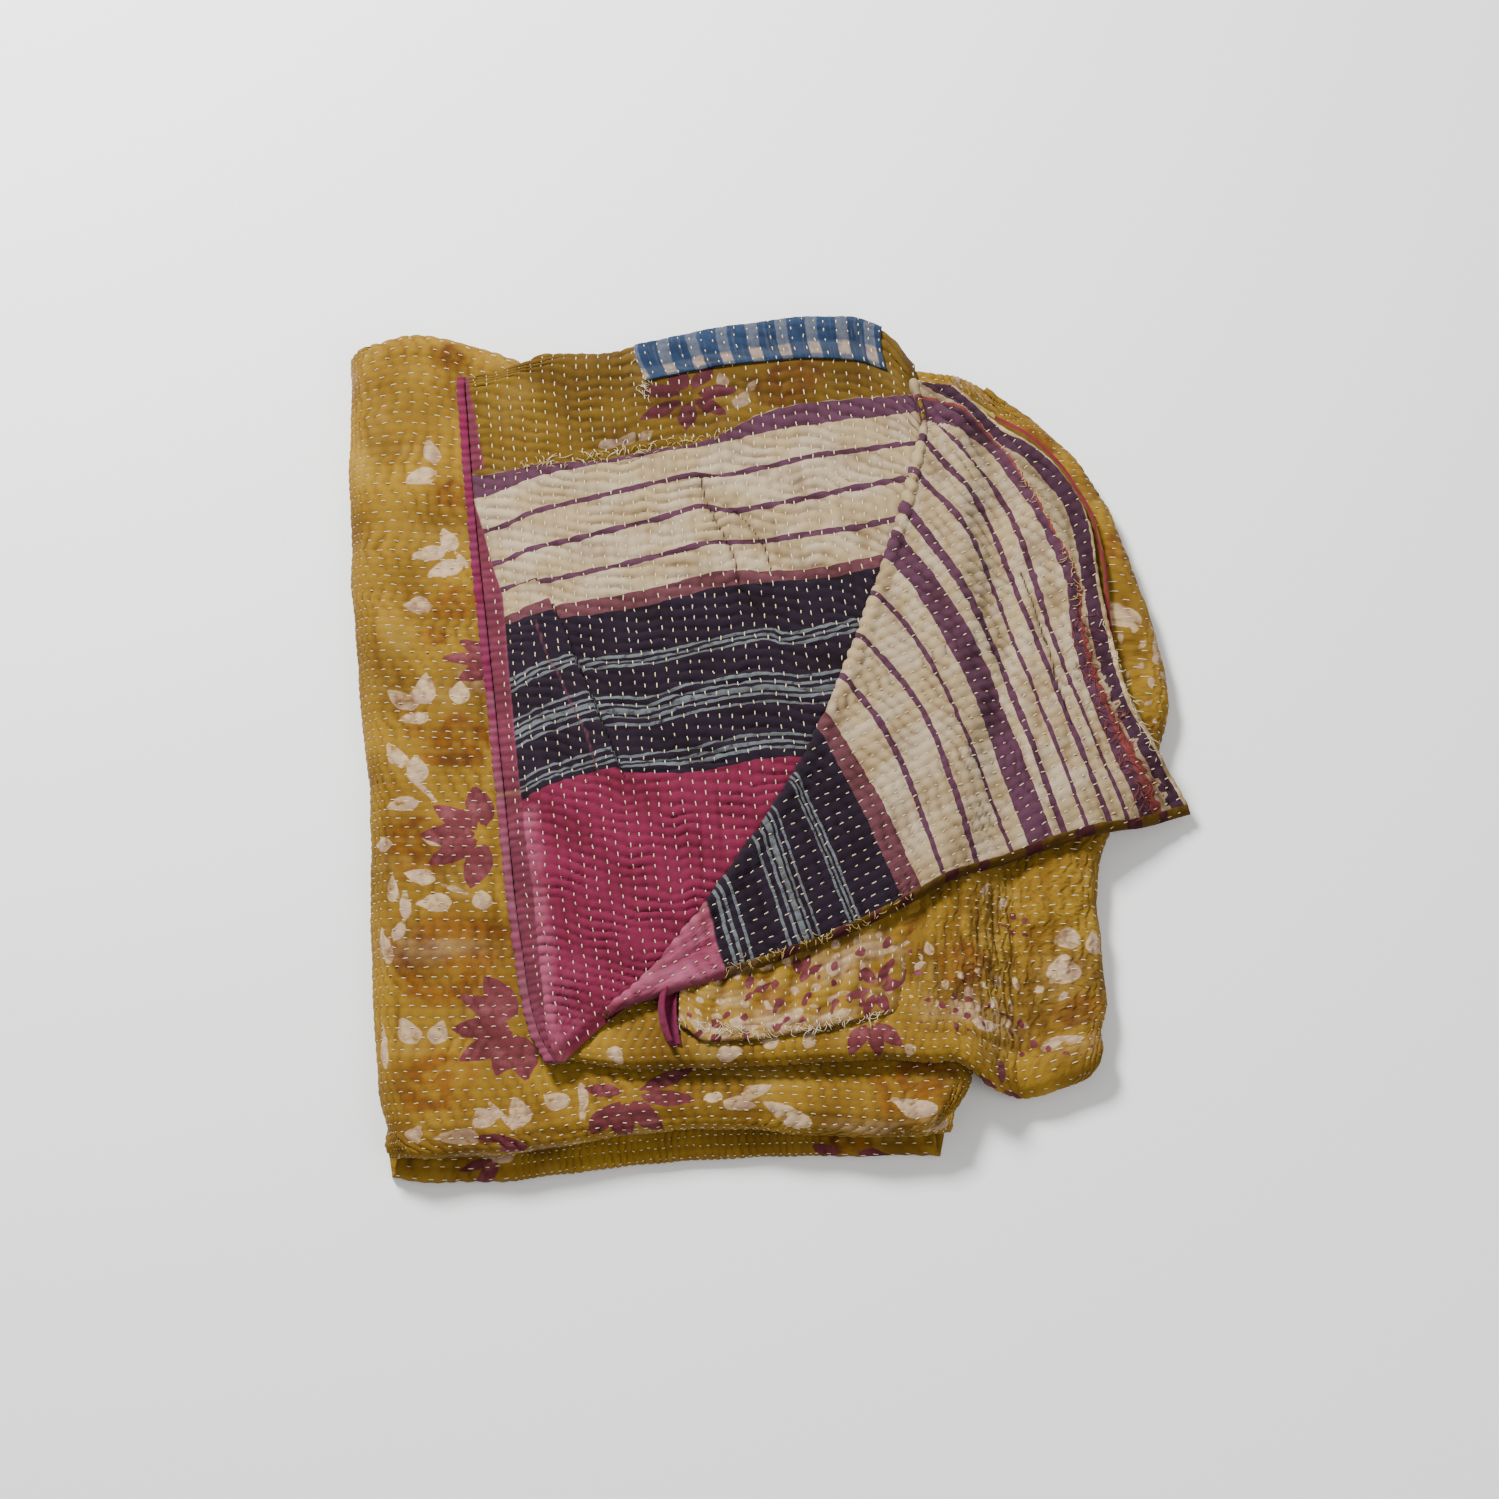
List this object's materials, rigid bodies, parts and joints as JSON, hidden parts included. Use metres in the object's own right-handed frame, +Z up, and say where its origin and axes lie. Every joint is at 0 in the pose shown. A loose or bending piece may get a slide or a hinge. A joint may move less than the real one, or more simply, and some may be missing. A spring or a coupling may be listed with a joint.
{
  "type": "folded kantha quilt",
  "caption": "Folded kantha quilt of stitched-through cotton layers, one leaf turned up across the pile to show its patched stripes, with a bound edge and a sewn-on patch.",
  "frame": {"origin": "on the surface it rests on, under the middle of its box", "axes": "+Z up, +Y towards the rear fold, -Y towards the folds that face the viewer, +X to the viewer's right"},
  "size_m": [0.7143, 0.7931, 0.0518],
  "materials": {
    "quilted_cotton": "soft worn cotton, quilted with rows of running stitch",
    "magenta_cotton": "soft worn magenta cotton binding, stitched",
    "blue_check_cotton": "loosely woven checked cotton"
  },
  "bodies": {
    "root": {"quilt": "quilted_cotton", "edge_binding": "magenta_cotton", "check_patch": "blue_check_cotton"}
  },
  "joints": []
}
